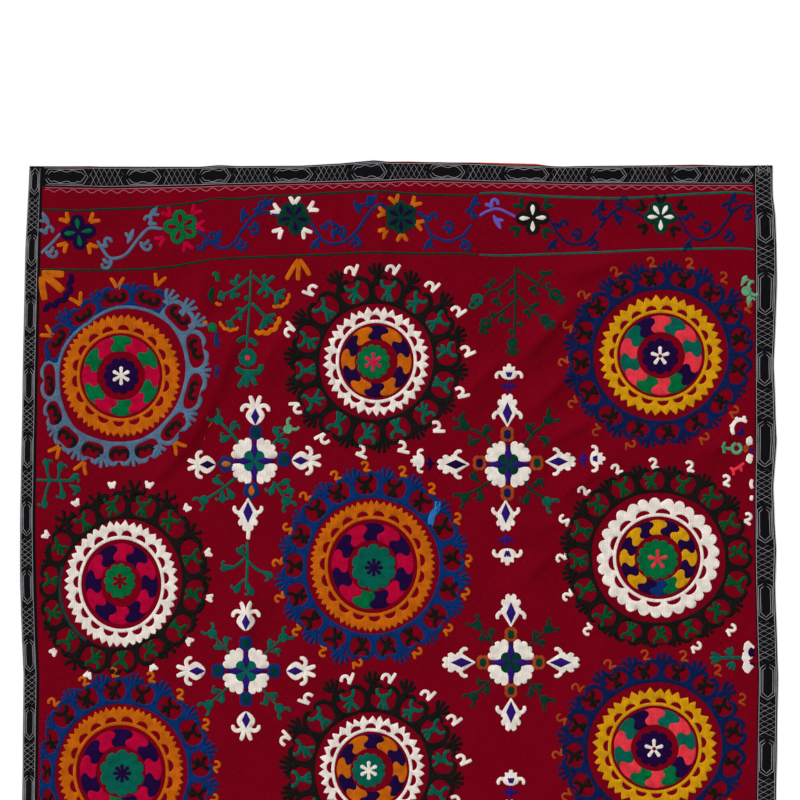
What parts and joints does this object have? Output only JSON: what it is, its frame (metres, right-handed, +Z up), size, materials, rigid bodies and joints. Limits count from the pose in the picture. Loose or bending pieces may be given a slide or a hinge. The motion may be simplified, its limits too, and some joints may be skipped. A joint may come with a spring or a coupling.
{
  "type": "suzani embroidered textile",
  "caption": "Embroidered suzani laid out flat: crimson panels joined edge to edge, black stitched edging strips and a red printed lining.",
  "frame": {"origin": "on the surface that the textile lies on, under the middle of its bounding box", "axes": "+Z up out of the embroidered face, +Y towards the top edge of the embroidery, +X to the right seen from above"},
  "size_m": [1.5159, 2.0387, 0.0104],
  "materials": {
    "ground": "plain-woven crimson cotton with chain-stitch embroidery",
    "edging": "black cotton with grey machine chain stitch",
    "lining": "thin printed cotton",
    "thread_white": "chain-stitched cotton thread",
    "thread_dark": "chain-stitched cotton thread",
    "thread_blue": "chain-stitched cotton thread",
    "thread_green": "chain-stitched cotton thread",
    "thread_warm": "chain-stitched cotton thread",
    "thread_violet": "chain-stitched cotton thread"
  },
  "bodies": {
    "root": {"panel_left": "ground", "panel_centre": "ground", "panel_right": "ground", "strip_left": "edging", "strip_right": "edging", "strip_top": "edging", "strip_bottom": "edging", "lining": "lining"}
  },
  "joints": []
}
